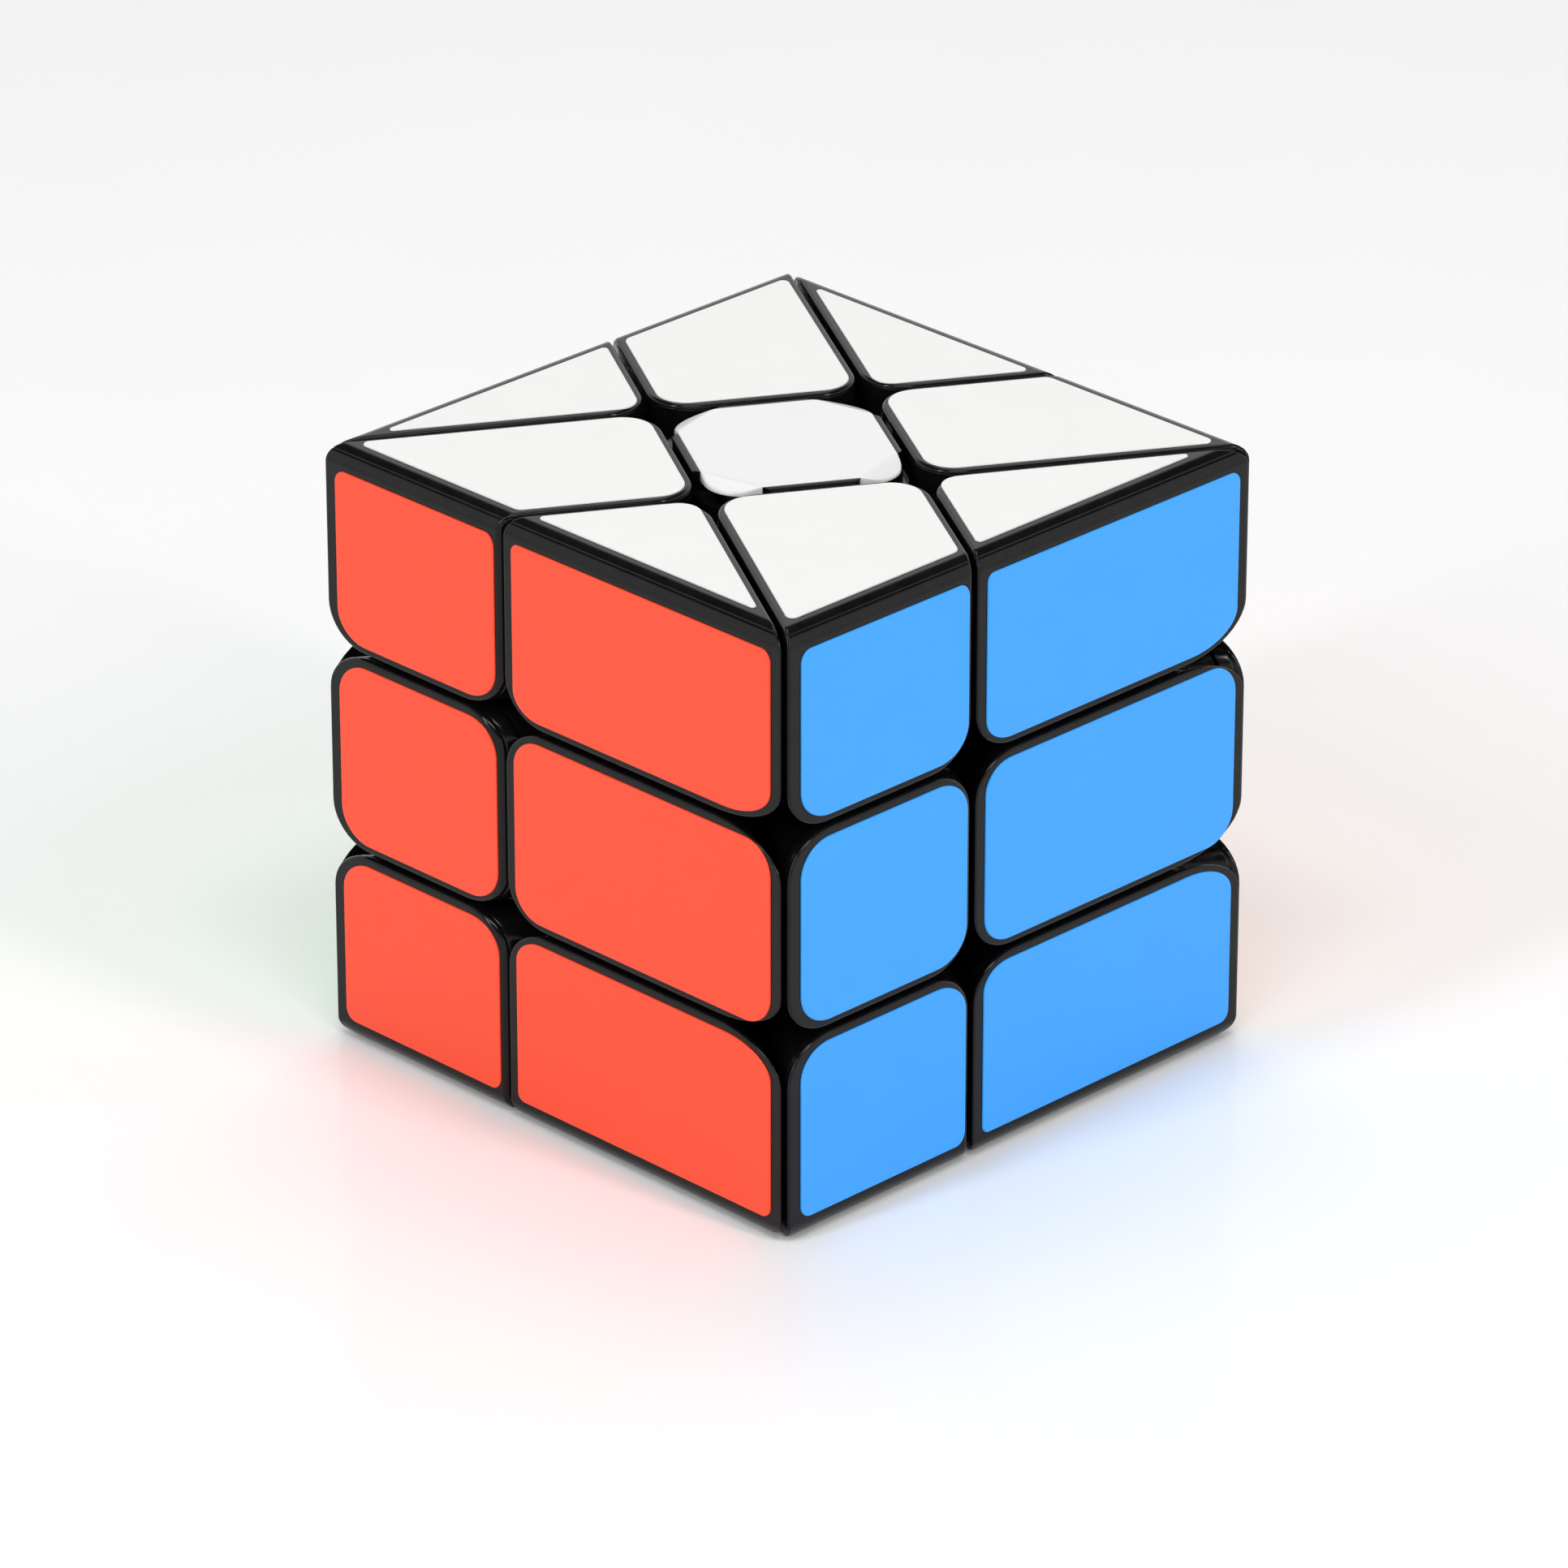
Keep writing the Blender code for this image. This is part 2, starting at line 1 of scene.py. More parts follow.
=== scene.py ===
"""The looks of the twisty puzzle cube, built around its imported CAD.

Shapes are made in millimetres about the cube's centre. They become metres where a mesh is made,
and each piece then stands at the centre of the CAD. The front pieces are modelled. The other
sides are quarter turns of them, and the bottom layer is the top layer's mirror image.
"""

import math

import bmesh
import bpy
from mathutils import Matrix, Vector


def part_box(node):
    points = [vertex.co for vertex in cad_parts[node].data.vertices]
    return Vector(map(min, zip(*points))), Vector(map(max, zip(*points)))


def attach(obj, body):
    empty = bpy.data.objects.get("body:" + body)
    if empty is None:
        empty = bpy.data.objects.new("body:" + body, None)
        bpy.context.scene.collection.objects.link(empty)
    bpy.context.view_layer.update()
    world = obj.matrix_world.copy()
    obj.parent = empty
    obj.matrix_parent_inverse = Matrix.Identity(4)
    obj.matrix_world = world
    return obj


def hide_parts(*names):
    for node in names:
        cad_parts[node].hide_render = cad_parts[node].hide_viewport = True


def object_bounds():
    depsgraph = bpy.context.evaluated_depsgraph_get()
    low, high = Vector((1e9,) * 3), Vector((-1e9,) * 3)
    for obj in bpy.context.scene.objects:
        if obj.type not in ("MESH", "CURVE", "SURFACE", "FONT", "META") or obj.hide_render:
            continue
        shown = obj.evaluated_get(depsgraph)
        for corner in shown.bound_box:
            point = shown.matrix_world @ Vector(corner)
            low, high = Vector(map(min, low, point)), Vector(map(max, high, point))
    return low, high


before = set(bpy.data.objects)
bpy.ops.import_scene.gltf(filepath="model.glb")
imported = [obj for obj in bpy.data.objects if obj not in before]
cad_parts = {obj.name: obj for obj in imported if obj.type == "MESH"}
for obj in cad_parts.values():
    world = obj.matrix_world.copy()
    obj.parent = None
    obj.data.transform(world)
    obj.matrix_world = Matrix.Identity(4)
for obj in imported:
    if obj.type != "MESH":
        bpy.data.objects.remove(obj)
CAD_LOW, CAD_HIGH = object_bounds()

# ---- places read from the CAD -----------------------------------------------------------
# CENTRE is in metres and CUT_ANGLE in radians. The others are in millimetres from the centre.
MM = 0.001
CENTRE = (CAD_LOW + CAD_HIGH) / 2
HALF = (CAD_HIGH.z - CAD_LOW.z) / 2 / MM
NEAR_CUT = (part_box("middle_front_edge")[1].z - CENTRE.z) / MM
FAR_CUT = (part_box("top_front_corner_shell")[0].z - CENTRE.z) / MM
FAR_FOOT = (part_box("top_front_edge")[0].z - CENTRE.z) / MM
CUT = (NEAR_CUT + FAR_CUT) / 2              # the middle of the gap between two layers
PIECE_GAP = FAR_CUT - NEAR_CUT
NEAR_FOOT = FAR_FOOT - PIECE_GAP
CUT_ANGLE = math.acos(CUT / (HALF * math.sqrt(2))) - math.pi / 4

# RIGHT and FRONT are the mechanism's level axes. OUTWARD is out of the cube's front face.
RIGHT = Vector((math.cos(CUT_ANGLE), -math.sin(CUT_ANGLE), 0.0))
FRONT = Vector((-math.sin(CUT_ANGLE), -math.cos(CUT_ANGLE), 0.0))
UP = Vector((0.0, 0.0, 1.0))
OUTWARD = Vector((0.0, -1.0, 0.0))
SIDES = ("front", "right", "back", "left")

# ---- sizes of the CAD pieces that are made again, in millimetres ------------------------
# Spheres and holes are given by their radii.
CAVITY_SPHERE = 20.8      # the room in which the feet slide
BACK_SPHERE = 20.2        # the outside of an edge piece's foot
ROOF_SPHERE = 22.4        # over the roof that closes a hollow piece toward the feet
SPLIT_SPHERE = 25.0       # between a corner shell and its foot
HOLLOW_SPHERE = 13.0      # the inside of an edge piece's foot
WALL = 1.6
FIT_GAP = 0.3
FOOT_HOLE = 3.0
ARM_BORE = 3.8            # of a centre piece, around the core's arm
WEB_FLOOR = 9.3           # the core's side of the web between the arm and the spring
WEB = 2.0                 # the web's thickness
SCREW_HOLE = 1.5
CHAMBER = 3.1             # around the spring and the screw head
TUBE = 4.7                # around the chamber
RING_BORE = 5.0           # of the clip ring under a cap or cover
RING_RADIUS = 5.9
RING_LENGTH = 3.0
CAP_LEDGE = 0.65          # of the centre piece, along each straight side of its cap
CAP_HALF = NEAR_CUT - CAP_LEDGE
CAP_THICKNESS = 1.5
CAP_ROUND = 3.4
CAP_CORNER_CUT = 3.1      # from a square corner to the crease where the corner starts to slope
CAP_SLOPE = math.radians(20.0)
CAP_CREASE = CAP_HALF * math.sqrt(2) - CAP_CORNER_CUT
COVER_THICKNESS = 1.7

# ---- finer shapes -----------------------------------------------------------------------
CROSSING_ROUND = 4.0      # where two cuts of a piece meet
CROSSING_STEPS = 10
HOLLOW_STEPS = 4          # of the same rounding, inside a hollow piece
OUTER_ROUND = 1.6         # where two outside faces meet
OUTER_STEPS = 8
RIM_ROUND = 0.35          # around the outside faces, where they turn into a cut
RIM_STEPS = 5
CAP_RIM = 0.22
CAP_RIM_STEPS = 3
CAP_RISE = 0.12           # of the cap over the plastic, level with the stickers
CAP_PLAY = 0.03           # between the cap and the ledges that it sits between
CAP_LIP = 0.75            # how far down the sloping corners go, as a thin lip
TOP_SEAM_DEPTH = 0.42     # of the line where a piece's two mouldings meet, under the top face
SIDE_SEAM_DEPTH = 0.65    # the same, behind a side face
SEAM_WIDTH = 0.12
SEAM_SINK = 0.06
BALL_STEPS = 64
ROD_STEPS = 40
OVERSHOOT = 1.0           # of a cutting tool past what it cuts
MERGE = 1e-4              # points nearer than this are one point
PARALLEL = 0.999          # dot product of two directions that count as the same
FACES_UP = 0.5            # least height of the normal of a face that belongs to the cap's top
SHARP_ANGLE = 38.0        # in degrees: flatter meetings of faces are shaded smooth

SKIN, INNER = 0, 1        # face marks while a block is shaped: outside faces, and cuts


# ---- blocks -------------------------------------------------------------------------------
def within(axis, half):
    return [(axis, half), (-axis, half)]


def beyond(axis, distance):
    return [(-axis, -distance)]


def cut_off(shape, point, outward):
    """Removes what lies beyond a plane and closes the cut with faces marked INNER."""
    whole = shape.verts[:] + shape.edges[:] + shape.faces[:]
    cut = bmesh.ops.bisect_plane(shape, geom=whole, dist=MERGE, clear_outer=True,
                                 plane_co=point, plane_no=outward)
    rim = [part for part in cut["geom_cut"] if isinstance(part, bmesh.types.BMEdge)]
    for face in bmesh.ops.holes_fill(shape, edges=rim, sides=0)["faces"]:
        face.material_index = INNER


def cut_block(limits, inset=0.0):
    """The part of the cube inside every limit, all moved inwards by inset."""
    shape = bmesh.new()
    bmesh.ops.create_cube(shape, size=2 * (HALF - inset))
    for axis, distance in limits:
        cut_off(shape, axis * (distance - inset), axis)
    bmesh.ops.recalc_face_normals(shape, faces=shape.faces[:])
    return shape


def bevel(shape, edges, width, steps):
    bmesh.ops.bevel(shape, geom=edges, offset=width, offset_type="OFFSET", segments=steps,
                    profile=0.5, affect="EDGES", clamp_overlap=False, material=-1)


def marked_edges(shape, first, second):
    """Edges between a face marked first and a face marked second."""
    wanted = sorted((first, second))
    return [edge for edge in shape.edges
            if sorted(face.material_index for face in edge.link_faces) == wanted]


def along(edges, axis):
    return [edge for edge in edges
            if abs((edge.verts[0].co - edge.verts[1].co).normalized().dot(axis)) > PARALLEL]


def seam(shape, axis, depth, skin_too):
    """A fine groove across the piece, square to an axis, where two mouldings meet."""
    middle = HALF - depth
    for offset in (-SEAM_WIDTH, 0.0, SEAM_WIDTH):
        whole = shape.verts[:] + shape.edges[:] + shape.faces[:]
        bmesh.ops.bisect_plane(shape, geom=whole, dist=MERGE, plane_no=axis,
                               plane_co=axis * (middle + offset))
    shape.normal_update()
    moves = {}
    for vertex in shape.verts:
        if abs(vertex.co.dot(axis) - middle) > MERGE:
            continue
        if skin_too or all(face.material_index == INNER for face in vertex.link_faces):
            flat = vertex.normal - axis * vertex.normal.dot(axis)
            moves[vertex] = flat.normalized() * -SEAM_SINK
    for vertex, move in moves.items():
        vertex.co += move


def dressed_block(limits, is_crossing=None, top_seam=False):
    """A piece's outside: rounded crossings, rounded outer edges, softened rims and seams."""
    shape = cut_block(limits)
    crossings = marked_edges(shape, INNER, INNER)
    if is_crossing is not None:
        crossings = along(crossings, is_crossing)
    bevel(shape, crossings, CROSSING_ROUND, CROSSING_STEPS)
    outer = marked_edges(shape, SKIN, SKIN)
    if outer:
        bevel(shape, outer, OUTER_ROUND, OUTER_STEPS)
    bevel(shape, marked_edges(shape, SKIN, INNER), RIM_ROUND, RIM_STEPS)
    seam(shape, OUTWARD, SIDE_SEAM_DEPTH, False)
    if top_seam:
        seam(shape, UP, TOP_SEAM_DEPTH, True)
    return shape


def hollow_block(limits, inset):
    """The room inside a piece, a wall's thickness within its outside."""
    shape = cut_block(limits, inset)
    bevel(shape, marked_edges(shape, INNER, INNER), CROSSING_ROUND - inset, HOLLOW_STEPS)
    return shape


def mechanism_turn():
    return Matrix.Rotation(-CUT_ANGLE, 3, "Z")


def ball(radius):
    shape = bmesh.new()
    bmesh.ops.create_uvsphere(shape, u_segments=BALL_STEPS, v_segments=BALL_STEPS // 2,
                              radius=radius)
    bmesh.ops.rotate(shape, verts=shape.verts[:], matrix=mechanism_turn())
    return shape


def rod(axis, radius, start, end):
    shape = bmesh.new()
    bmesh.ops.create_cone(shape, cap_ends=True, segments=ROD_STEPS, radius1=radius,
                          radius2=radius, depth=end - start)
    bmesh.ops.translate(shape, verts=shape.verts[:], vec=(0.0, 0.0, (start + end) / 2))
    turn = UP.rotation_difference(axis).to_matrix()
    bmesh.ops.rotate(shape, verts=shape.verts[:], matrix=turn)
    return shape


def square_prism(half, bottom, top, turn=0.0):
    """An upright square prism that stands along the mechanism's axes, or turned from them."""
    shape = bmesh.new()
    size = Matrix.Diagonal((2 * half, 2 * half, top - bottom, 1.0))
    lift = Matrix.Translation((0.0, 0.0, (top + bottom) / 2))
    spin = mechanism_turn().to_4x4() @ Matrix.Rotation(turn, 4, "Z")
    bmesh.ops.create_cube(shape, size=1.0, matrix=spin @ lift @ size)
    return shape


# ---- solids ---------------------------------------------------------------------------------
SCRAPS = []


def solid(shape):
    """A working object in millimetres, removed again before the script ends."""
    bmesh.ops.recalc_face_normals(shape, faces=shape.faces[:])
    for face in shape.faces:
        face.material_index = 0
    mesh = bpy.data.meshes.new("scrap")
    shape.to_mesh(mesh)
    shape.free()
    item = bpy.data.objects.new("scrap", mesh)
    bpy.context.scene.collection.objects.link(item)
    SCRAPS.append(item)
    return item


def combine(target, operation, *tools):
    for tool in tools:
        modifier = target.modifiers.new(operation.lower(), "BOOLEAN")
        modifier.operation = operation
        modifier.solver = "EXACT"
        modifier.object = tool
    return target


def finished(target, name):
    """The solid's mesh, in metres and in the row frame, smooth over its rounded parts."""
    depsgraph = bpy.context.evaluated_depsgraph_get()
    mesh = bpy.data.meshes.new_from_object(target.evaluated_get(depsgraph))
    mesh.name = name
    shape = bmesh.new()
    shape.from_mesh(mesh)
    bmesh.ops.remove_doubles(shape, verts=shape.verts[:], dist=MERGE)
    bmesh.ops.dissolve_degenerate(shape, edges=shape.edges[:], dist=MERGE)
    bmesh.ops.recalc_face_normals(shape, faces=shape.faces[:])
    bmesh.ops.scale(shape, verts=shape.verts[:], vec=(MM, MM, MM))
    shape.to_mesh(mesh)
    shape.free()
    mesh.shade_smooth()
    mesh.set_sharp_from_angle(angle=math.radians(SHARP_ANGLE))
    return mesh


def clear_scraps():
    for item in SCRAPS:
        mesh = item.data
        bpy.data.objects.remove(item, do_unlink=True)
        bpy.data.meshes.remove(mesh)
    SCRAPS.clear()


def mirrored(mesh, name):
    copy = mesh.copy()
    copy.name = name
    copy.transform(Matrix.Scale(-1.0, 4, UP))
    copy.flip_normals()
    return copy


def edge_mesh(name, slab, first, second, top_seam):
    """An edge piece across slab's axis, beyond the cuts of the first and second axes."""
    limits = within(slab, NEAR_CUT) + beyond(first, FAR_CUT) + beyond(second, FAR_CUT)
    body = solid(dressed_block(limits, top_seam=top_seam))
    combine(body, "DIFFERENCE", solid(ball(CAVITY_SPHERE)))
    neck = solid(cut_block(within(slab, NEAR_FOOT - FIT_GAP) + beyond(first, FAR_CUT + FIT_GAP)
                           + beyond(second, FAR_CUT + FIT_GAP)))
    combine(neck, "INTERSECT", solid(ball(ROOF_SPHERE)))
    foot = solid(cut_block(within(slab, NEAR_FOOT) + beyond(first, FAR_FOOT)
                           + beyond(second, FAR_FOOT)))
    combine(foot, "INTERSECT", solid(ball(BACK_SPHERE)))
    combine(foot, "DIFFERENCE", solid(ball(HOLLOW_SPHERE)))
    hollow = solid(hollow_block(limits, WALL))
    combine(hollow, "DIFFERENCE", solid(ball(ROOF_SPHERE)))
    diagonal = (first + second).normalized()
    hole = solid(rod(diagonal, FOOT_HOLE, 0.0, ROOF_SPHERE + WALL))
    combine(body, "UNION", neck, foot)
    combine(body, "DIFFERENCE", hollow, hole)
    return finished(body, name)


def shell_mesh(name):
    """A hollow corner, open at the back where its foot plugs in."""
    limits = beyond(RIGHT, FAR_CUT) + beyond(FRONT, FAR_CUT) + beyond(UP, FAR_CUT)
    shell = solid(dressed_block(limits, top_seam=True))
    combine(shell, "DIFFERENCE", solid(ball(SPLIT_SPHERE)), solid(hollow_block(limits, WALL)))
    return finished(shell, name)


def centre_mesh(name, axis, face_depth):
    """A centre piece on its axis; a side one stops face_depth short, to leave its cover room."""
    across = RIGHT
    limits = within(across, NEAR_CUT) + within(axis.cross(across), NEAR_CUT) + beyond(axis, FAR_CUT)
    face_limit = [(OUTWARD, HALF - face_depth)] if axis is not UP else []
    block = cut_block(limits + face_limit)
    bevel(block, along(block.edges, axis), CROSSING_ROUND, CROSSING_STEPS)
    if axis is UP:
        bevel(block, marked_edges(block, SKIN, INNER), RIM_ROUND, RIM_STEPS)
    body = solid(block)
    combine(body, "DIFFERENCE", solid(ball(CAVITY_SPHERE)))
    hollow_limits = [(direction, distance - WALL) for direction, distance in limits]
    hollow = solid(cut_block(hollow_limits))
    combine(hollow, "DIFFERENCE", solid(ball(ROOF_SPHERE)), solid(rod(axis, TUBE, 0.0, 2 * HALF)))
    stem = solid(cut_block(within(across, NEAR_FOOT) + within(axis.cross(across), NEAR_FOOT)
                           + beyond(axis, FAR_FOOT)))
    combine(stem, "INTERSECT", solid(ball(ROOF_SPHERE - FIT_GAP)))
    combine(body, "UNION", stem)
    combine(body, "DIFFERENCE", hollow, solid(rod(axis, ARM_BORE, 0.0, WEB_FLOOR)),
            solid(rod(axis, SCREW_HOLE, 0.0, 2 * HALF)),
            solid(rod(axis, CHAMBER, WEB_FLOOR + WEB, 2 * HALF)))
    if axis is UP:
        combine(body, "DIFFERENCE", *cap_seat())
    return finished(body, name)


def cap_seat():
    """Room for the cap: a square recess, open at its four corners under the cap's slopes."""
    floor_height = HALF - CAP_THICKNESS - FIT_GAP
    corners = solid(square_prism(2 * HALF, floor_height, HALF + WALL))
    combine(corners, "DIFFERENCE", solid(square_prism(CAP_CREASE, floor_height - WALL,
                                                      HALF + 2 * WALL, math.pi / 4)))
    return solid(square_prism(CAP_HALF + CAP_PLAY, floor_height, HALF + 2 * WALL)), corners


def clip_ring(axis, start, end):
    ring = solid(rod(axis, RING_RADIUS, start, end))
    bore = solid(rod(axis, RING_BORE, start - OVERSHOOT, end + OVERSHOOT))
    return combine(ring, "DIFFERENCE", bore)


def cap_mesh(name):
    """A square cap whose rounded corners are thin lips that slope down."""
    plate = square_prism(CAP_HALF, HALF - CAP_LIP, HALF + CAP_RISE)
    bevel(plate, along(plate.edges, UP), CAP_ROUND, CROSSING_STEPS)
    for quarter in range(len(SIDES)):
        turn = Matrix.Rotation(quarter * math.pi / 2, 3, "Z")
        outward = turn @ (RIGHT + FRONT).normalized()
        slope = outward * math.sin(CAP_SLOPE) + UP * math.cos(CAP_SLOPE)
        crease = outward * CAP_CREASE + UP * (HALF + CAP_RISE)
        cut_off(plate, crease, slope)
    bmesh.ops.recalc_face_normals(plate, faces=plate.faces[:])
    tops = [face for face in plate.faces if face.normal.z > FACES_UP]
    creases = [edge for edge in plate.edges if all(face in tops for face in edge.link_faces)]
    rims = [edge for edge in plate.edges
            if sum(face in tops for face in edge.link_faces) == 1]
    bevel(plate, creases + rims, CAP_RIM, CAP_RIM_STEPS)
    cap = solid(plate)
    block = solid(square_prism(CAP_HALF - CAP_PLAY, HALF - CAP_THICKNESS, HALF - CAP_LIP / 2))
    combine(block, "INTERSECT", solid(square_prism(CAP_CREASE - CAP_LIP, HALF - 2 * CAP_THICKNESS,
                                                   HALF, math.pi / 4)))
    combine(cap, "UNION", block, clip_ring(UP, HALF - CAP_THICKNESS - RING_LENGTH,
                                           HALF - CAP_THICKNESS / 2))
    return finished(cap, name)


def cover_mesh(name):
    """The plate that closes a side centre, with its clip ring."""
    limits = within(RIGHT, NEAR_CUT) + within(UP, NEAR_CUT) + beyond(FRONT, FAR_CUT)
    block = cut_block(limits)
    bevel(block, along(marked_edges(block, INNER, INNER), FRONT), CROSSING_ROUND, CROSSING_STEPS)
    bevel(block, marked_edges(block, SKIN, INNER), RIM_ROUND, RIM_STEPS)
    seam(block, OUTWARD, SIDE_SEAM_DEPTH, False)
    cut_off(block, OUTWARD * (HALF - COVER_THICKNESS), -OUTWARD)
    cover = solid(block)
    near_side = (HALF - COVER_THICKNESS - RING_RADIUS * math.sin(CUT_ANGLE)) / math.cos(CUT_ANGLE)
    ring = clip_ring(FRONT, near_side - RING_LENGTH, 2 * HALF)
    combine(ring, "INTERSECT", solid(cut_block([(OUTWARD, HALF - COVER_THICKNESS / 2)])))
    combine(cover, "UNION", ring)
    return finished(cover, name)


# ---- stickers ---------------------------------------------------------------------------------
STICKER_SINK = 0.04       # into the plastic, so that no gap shows
STICKER_RISE = 0.15
STICKER_LOOPS = (         # inwards from the outline, and up from the face
    (0.00, -STICKER_SINK), (0.00, STICKER_RISE - 0.09), (0.012, STICKER_RISE - 0.045),
    (0.045, STICKER_RISE - 0.012), (0.10, STICKER_RISE), (0.30, STICKER_RISE))
ARC_STEPS = 12
SHORTEST_MITRE = 0.3      # keeps a point at a sharp corner from moving in too far

SIDE_TOP_MARGIN = 1.9     # from a side sticker to the cube's top or bottom face
SIDE_EDGE_MARGIN = 1.75   # to the cube's upright edges
SIDE_LAYER_MARGIN = 1.0   # to the middle of the gap between two layers
NARROW_CUT_MARGIN = 0.7   # to the middle of the slanting cut, on its blunt side
WIDE_CUT_MARGIN = 1.5     # to the same cut, on its sharp side
TOP_OUTER_MARGIN = 2.05   # from a top sticker to the cube's side face
TOP_CUT_MARGIN = 0.95     # to the middle of a cut

SIDE_CORNERS = {          # (width, height) of each rounding, as in rounded_rectangle
    "narrow": ((3.5, 3.0), (3.5, 3.0), (1.1, 1.3), (1.2, 1.2)),
    "wide": ((3.1, 2.4), (5.7, 3.05), (1.1, 1.1), (0.8, 0.8)),
    "narrow_middle": ((3.5, 3.2),) * 4,
    "wide_middle": ((3.1, 2.8), (3.2, 3.0), (3.2, 3.0), (3.1, 2.8)),
}
TOP_QUAD_RADII = (0.6, 1.0, 2.7, 2.7)
TOP_TRIANGLE_RADII = (0.4, 0.3, 2.0)


def rounded_outline(points, radii):
    """A polygon with its corners rounded to circles. Points run anticlockwise."""
    outline = []
    count = len(points)
    for index, (corner, radius) in enumerate(zip(points, radii)):
        before = (points[index - 1] - corner).normalized()
        after = (points[(index + 1) % count] - corner).normalized()
        half = math.acos(max(-1.0, min(1.0, before.dot(after)))) / 2
        middle = corner + (before + after).normalized() * (radius / math.sin(half))
        start = corner + before * (radius / math.tan(half)) - middle
        sweep = math.pi - 2 * half
        for step in range(ARC_STEPS + 1):
            turn = Matrix.Rotation(sweep * step / ARC_STEPS, 2)
            outline.append(middle + turn @ start)
    return outline


def rounded_rectangle(low, high, corners):
    """Corners are (width, height) of each rounding: low low, high low, high high, low high."""
    places = ((low[0], low[1], 1, 1), (high[0], low[1], -1, 1),
              (high[0], high[1], -1, -1), (low[0], high[1], 1, -1))
    outline = []
    for index, ((x, y, toward_x, toward_y), (wide, tall)) in enumerate(zip(places, corners)):
        middle = Vector((x + toward_x * wide, y + toward_y * tall))
        for step in range(ARC_STEPS + 1):
            angle = math.pi + index * math.pi / 2 + step * math.pi / 2 / ARC_STEPS
            outline.append(middle + Vector((wide * math.cos(angle), tall * math.sin(angle))))
    return outline


def moved_in(outline, distance):
    """The outline with every point moved inwards by a distance."""
    moved = []
    count = len(outline)
    for index, point in enumerate(outline):
        before = (point - outline[index - 1]).normalized()
        after = (outline[(index + 1) % count] - point).normalized()
        first, second = Vector((-before.y, before.x)), Vector((-after.y, after.x))
        inward = (first + second).normalized()
        moved.append(point + inward * (distance / max(SHORTEST_MITRE, inward.dot(first))))
    return moved


def sticker_mesh(name, outline, place):
    """A thin slab with a soft rim. place turns (across, along, height) into a point."""
    shape = bmesh.new()
    loops = []
    for inset, height in STICKER_LOOPS:
        loops.append([shape.verts.new(place(point.x, point.y, height))
                      for point in moved_in(outline, inset)])
    shape.faces.new(list(reversed(loops[0])))
    shape.faces.new(loops[-1])
    for lower, upper in zip(loops, loops[1:]):
        for index in range(len(lower)):
            after = (index + 1) % len(lower)
            shape.faces.new((lower[index], lower[after], upper[after], upper[index]))
    bmesh.ops.recalc_face_normals(shape, faces=shape.faces[:])
    bmesh.ops.scale(shape, verts=shape.verts[:], vec=(MM, MM, MM))
    mesh = bpy.data.meshes.new(name)
    shape.to_mesh(mesh)
    shape.free()
    mesh.shade_smooth()
    mesh.set_sharp_from_angle(angle=math.radians(SHARP_ANGLE))
    return mesh


def on_front(across, up, height):
    return Vector((across, -HALF - height, up))


def on_top(x, y, height):
    return Vector((x, y, HALF + height))


def meeting(first, second):
    """Where two lines meet, each given by its direction's normal and its distance."""
    (a, b), p = first
    (c, d), q = second
    scale = a * d - b * c
    return Vector(((p * d - q * b) / scale, (a * q - c * p) / scale))


def sticker_meshes():
    """The six shapes of sticker, on the front face and on the top."""
    cut_x = (CUT - HALF * math.sin(CUT_ANGLE)) / math.cos(CUT_ANGLE)    # of the slanting cut
    left, right = -HALF + SIDE_EDGE_MARGIN, HALF - SIDE_EDGE_MARGIN
    narrow_end, wide_start = cut_x - NARROW_CUT_MARGIN, cut_x + WIDE_CUT_MARGIN
    layer_low, layer_high = CUT + SIDE_LAYER_MARGIN, HALF - SIDE_TOP_MARGIN
    middle = CUT - SIDE_LAYER_MARGIN
    side = {
        "narrow": ((left, layer_low), (narrow_end, layer_high)),
        "wide": ((wide_start, layer_low), (right, layer_high)),
        "narrow_middle": ((left, -middle), (narrow_end, middle)),
        "wide_middle": ((wide_start, -middle), (right, middle)),
    }
    right_of = (RIGHT.x, RIGHT.y)
    front_of = (FRONT.x, FRONT.y)
    edge = ((0.0, -1.0), HALF - TOP_OUTER_MARGIN)
    inner, outer = CUT - TOP_CUT_MARGIN, CUT + TOP_CUT_MARGIN
    quad = [meeting((right_of, -inner), edge), meeting((right_of, inner), edge),
            meeting((right_of, inner), (front_of, outer)),
            meeting((right_of, -inner), (front_of, outer))]
    triangle = [meeting((right_of, outer), edge), meeting((front_of, outer), edge),
                meeting((right_of, outer), (front_of, outer))]
    meshes = {}
    for kind, (low, high) in side.items():
        outline = rounded_rectangle(low, high, SIDE_CORNERS[kind])
        meshes[kind] = sticker_mesh(f"sticker_{kind}", outline, on_front)
    quad_outline = rounded_outline(quad, TOP_QUAD_RADII)
    meshes["top_quad"] = sticker_mesh("sticker_top_quad", quad_outline, on_top)
    triangle_outline = rounded_outline(triangle, TOP_TRIANGLE_RADII)
    meshes["top_triangle"] = sticker_mesh("sticker_top_triangle", triangle_outline, on_top)
    return meshes


# ---- materials --------------------------------------------------------------------------------
NOISE_RANGE = (0.3, 0.7)  # nearly all of a noise texture's values
STICKER_MOTTLE = 0.985    # of a sticker's colour, in its darker patches


def node(tree, kind, **values):
    """A new node. Values are set on its inputs where it has one of that name."""
    made = tree.nodes.new(kind)
    for key, value in values.items():
        if key in made.inputs:
            made.inputs[key].default_value = value
        else:
            setattr(made, key, value)
    return made


def noise(tree, grain_mm, detail=2.0):
    """Noise whose features are about grain_mm across, on the piece's own coordinates."""
    place = node(tree, "ShaderNodeTexCoord")
    texture = node(tree, "ShaderNodeTexNoise", Scale=1.0 / (grain_mm * MM), Detail=detail)
    tree.links.new(place.outputs["Object"], texture.inputs["Vector"])
    return texture


